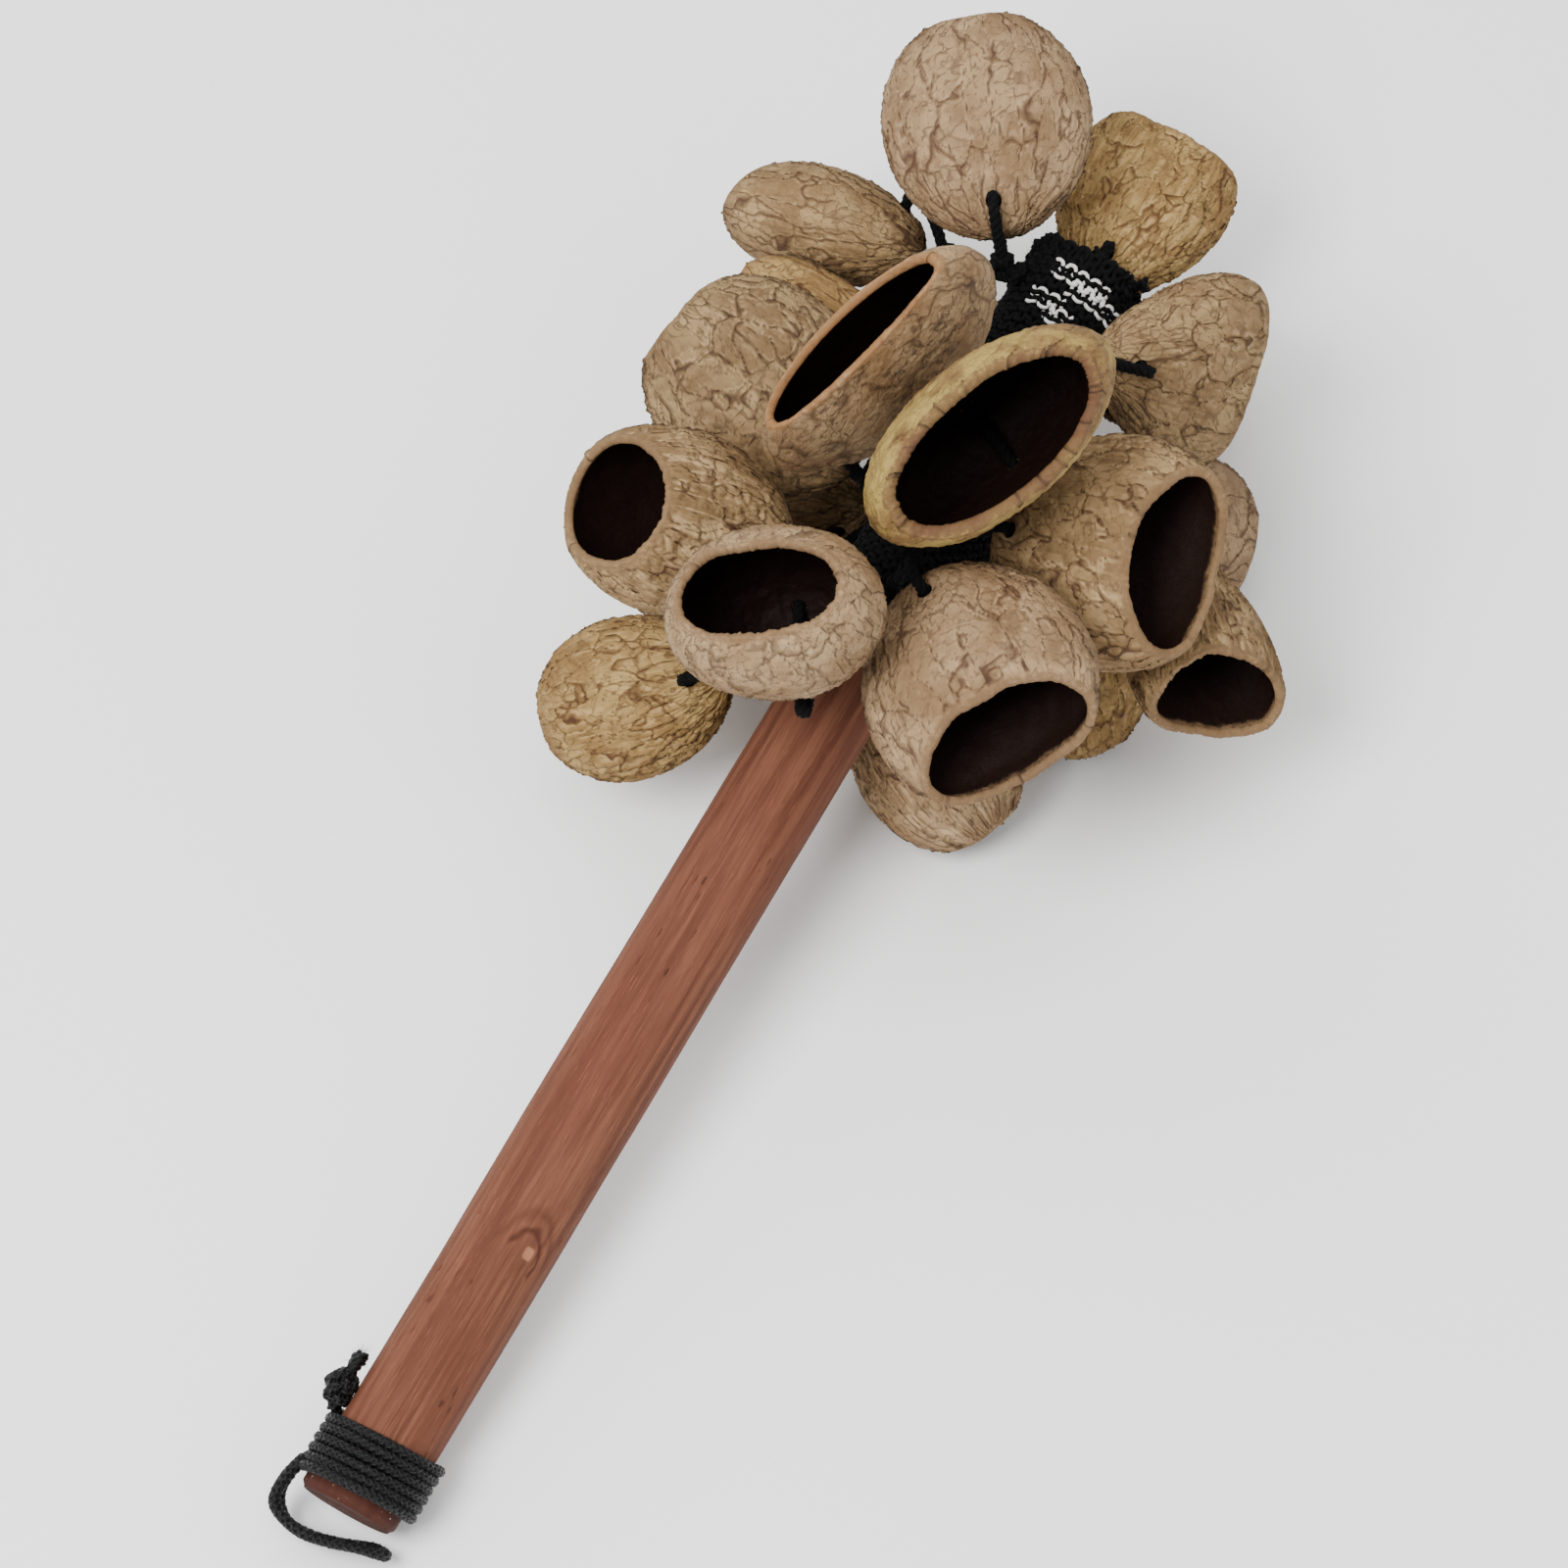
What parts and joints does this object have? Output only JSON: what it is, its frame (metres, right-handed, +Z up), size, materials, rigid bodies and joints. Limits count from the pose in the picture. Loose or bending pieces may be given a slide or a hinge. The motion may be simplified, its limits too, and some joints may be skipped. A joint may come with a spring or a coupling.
{
  "type": "nut shell hand shaker",
  "caption": "Hand shaker with a bunch of dried hollow nut shells tied with cord to a knitted sleeve on a wooden stick, and a lashed cord loop at the grip end.",
  "frame": {"origin": "on the surface that the shaker lies on, under the middle of its box", "axes": "+X along the stick towards the bunch, +Y across, +Z up"},
  "size_m": [0.3379, 0.1505, 0.1294],
  "materials": {
    "wood_stick": "oiled, with open grain",
    "shell_tan": "dry and ridged",
    "shell_gold": "dry and ridged",
    "shell_pink": "dry and veined",
    "shell_brown": "dry and ridged",
    "shell_pale": "dry and mottled",
    "knit": "knitted, matt",
    "tie_cord": "twisted, frayed",
    "waxed_cord": "braided, waxed"
  },
  "bodies": {
    "root": {"handle_stick": "wood_stick", "knit_sleeve": "knit", "handle_lashing": "waxed_cord", "lashing_knot": "waxed_cord", "hanging_loop": "waxed_cord", "shell_tie_01": "tie_cord", "shell_tie_02": "tie_cord", "shell_tie_03": "tie_cord", "shell_tie_04": "tie_cord", "shell_tie_05": "tie_cord", "shell_tie_06": "tie_cord", "shell_tie_07": "tie_cord", "shell_tie_08": "tie_cord", "shell_tie_09": "tie_cord", "shell_tie_10": "tie_cord", "shell_tie_11": "tie_cord", "shell_tie_12": "tie_cord", "shell_tie_13": "tie_cord", "shell_tie_14": "tie_cord", "shell_tie_15": "tie_cord", "shell_tie_16": "tie_cord", "shell_tie_17": "tie_cord", "shell_tie_18": "tie_cord", "shell_tie_19": "tie_cord", "shell_tie_20": "tie_cord", "shell_tie_21": "tie_cord", "shell_tie_22": "tie_cord"},
    "shell_01": {"nut_shell_01": "shell_pink"},
    "shell_02": {"nut_shell_02": "shell_gold"},
    "shell_03": {"nut_shell_03": "shell_tan"},
    "shell_04": {"nut_shell_04": "shell_tan"},
    "shell_05": {"nut_shell_05": "shell_gold"},
    "shell_06": {"nut_shell_06": "shell_brown"},
    "shell_07": {"nut_shell_07": "shell_pale"},
    "shell_08": {"nut_shell_08": "shell_gold"},
    "shell_09": {"nut_shell_09": "shell_tan"},
    "shell_10": {"nut_shell_10": "shell_pale"},
    "shell_11": {"nut_shell_11": "shell_gold"},
    "shell_12": {"nut_shell_12": "shell_tan"},
    "shell_13": {"nut_shell_13": "shell_tan"},
    "shell_14": {"nut_shell_14": "shell_pink"},
    "shell_15": {"nut_shell_15": "shell_pink"},
    "shell_16": {"nut_shell_16": "shell_pale"},
    "shell_17": {"nut_shell_17": "shell_gold"},
    "shell_18": {"nut_shell_18": "shell_brown"},
    "shell_19": {"nut_shell_19": "shell_tan"},
    "shell_20": {"nut_shell_20": "shell_brown"},
    "shell_21": {"nut_shell_21": "shell_tan"},
    "shell_22": {"nut_shell_22": "shell_pink"}
  },
  "joints": [
    {"name": "shell_swing_01", "type": "hinge", "parent": "root", "child": "shell_01", "pos_m": [0.11479, 0.01871, 0.07229], "axis": [0.2624, 0.0309, -0.9645], "range_deg": [-15, 15]},
    {"name": "shell_swing_02", "type": "hinge", "parent": "root", "child": "shell_02", "pos_m": [0.13043, 0.00287, 0.04474], "axis": [-0.0983, 0.1677, -0.9809], "range_deg": [-15, 15]},
    {"name": "shell_swing_03", "type": "hinge", "parent": "root", "child": "shell_03", "pos_m": [0.09791, -0.01867, 0.07068], "axis": [-0.2172, -0.8963, 0.3867], "range_deg": [-5, 15]},
    {"name": "shell_swing_04", "type": "hinge", "parent": "root", "child": "shell_04", "pos_m": [0.11271, 0.03969, 0.0486], "axis": [0.8588, 0.1924, 0.4748], "range_deg": [-15, 5]},
    {"name": "shell_swing_05", "type": "hinge", "parent": "root", "child": "shell_05", "pos_m": [0.08316, 0.02467, 0.05608], "axis": [0.9592, -0.1574, 0.2349], "range_deg": [-15, 5]},
    {"name": "shell_swing_06", "type": "hinge", "parent": "root", "child": "shell_06", "pos_m": [0.05704, 0.02303, 0.06068], "axis": [0.4073, 0.2066, -0.8896], "range_deg": [-15, 5]},
    {"name": "shell_swing_07", "type": "hinge", "parent": "root", "child": "shell_07", "pos_m": [0.06627, 0.00797, 0.08069], "axis": [0.4239, 0.9037, -0.0598], "range_deg": [0, 15]},
    {"name": "shell_swing_08", "type": "hinge", "parent": "root", "child": "shell_08", "pos_m": [0.05927, -0.01052, 0.08916], "axis": [0.2582, 0.8774, 0.4044], "range_deg": [0, 10]},
    {"name": "shell_swing_09", "type": "hinge", "parent": "root", "child": "shell_09", "pos_m": [0.02766, 0.02166, 0.06604], "axis": [-0.2689, -0.7384, 0.6185], "range_deg": [-15, 15]},
    {"name": "shell_swing_10", "type": "hinge", "parent": "root", "child": "shell_10", "pos_m": [0.00709, 0.00104, 0.07702], "axis": [0.853, 0.5055, 0.1301], "range_deg": [-5, 0]},
    {"name": "shell_swing_11", "type": "hinge", "parent": "root", "child": "shell_11", "pos_m": [0.01043, 0.0242, 0.04208], "axis": [0.6851, -0.1047, -0.7209], "range_deg": [-15, 15]},
    {"name": "shell_swing_12", "type": "hinge", "parent": "root", "child": "shell_12", "pos_m": [0.05636, -0.01985, 0.06476], "axis": [-0.4846, 0.1858, 0.8548], "range_deg": [0, 10]},
    {"name": "shell_swing_13", "type": "hinge", "parent": "root", "child": "shell_13", "pos_m": [0.07448, -0.04357, 0.04561], "axis": [0.3639, -0.3696, 0.855], "range_deg": [0, 15]},
    {"name": "shell_swing_14", "type": "hinge", "parent": "root", "child": "shell_14", "pos_m": [0.08869, -0.02729, 0.03206], "axis": [-0.0825, -0.866, 0.4931], "range_deg": [-5, 10]},
    {"name": "shell_swing_15", "type": "hinge", "parent": "root", "child": "shell_15", "pos_m": [0.03007, -0.01516, 0.07349], "axis": [-0.3008, 0.185, 0.9356], "range_deg": [-10, 5]},
    {"name": "shell_swing_16", "type": "hinge", "parent": "root", "child": "shell_16", "pos_m": [0.03488, -0.00164, 0.02289], "axis": [0.1496, 0.4226, -0.8939], "range_deg": [-10, 5]},
    {"name": "shell_swing_17", "type": "hinge", "parent": "root", "child": "shell_17", "pos_m": [0.06762, -0.02425, 0.03352], "axis": [0.0825, 0.866, -0.4931], "range_deg": [-5, 5]},
    {"name": "shell_swing_18", "type": "hinge", "parent": "root", "child": "shell_18", "pos_m": [0.06574, 0.02285, 0.02949], "axis": [0.9897, 0.0755, 0.1214], "range_deg": [-15, 15]},
    {"name": "shell_swing_19", "type": "hinge", "parent": "root", "child": "shell_19", "pos_m": [0.03585, 0.01994, 0.02953], "axis": [0.8723, 0.0885, 0.4809], "range_deg": [-15, 15]},
    {"name": "shell_swing_20", "type": "hinge", "parent": "root", "child": "shell_20", "pos_m": [0.10712, 0.01102, 0.03408], "axis": [0.8538, 0.1265, 0.5051], "range_deg": [-15, 15]},
    {"name": "shell_swing_21", "type": "hinge", "parent": "root", "child": "shell_21", "pos_m": [0.1161, -0.01188, 0.03223], "axis": [0.4042, 0.8497, 0.3385], "range_deg": [-15, 15]},
    {"name": "shell_swing_22", "type": "hinge", "parent": "root", "child": "shell_22", "pos_m": [0.06111, 0.00274, 0.02546], "axis": [0.5825, 0.1228, 0.8035], "range_deg": [-15, 10]}
  ]
}
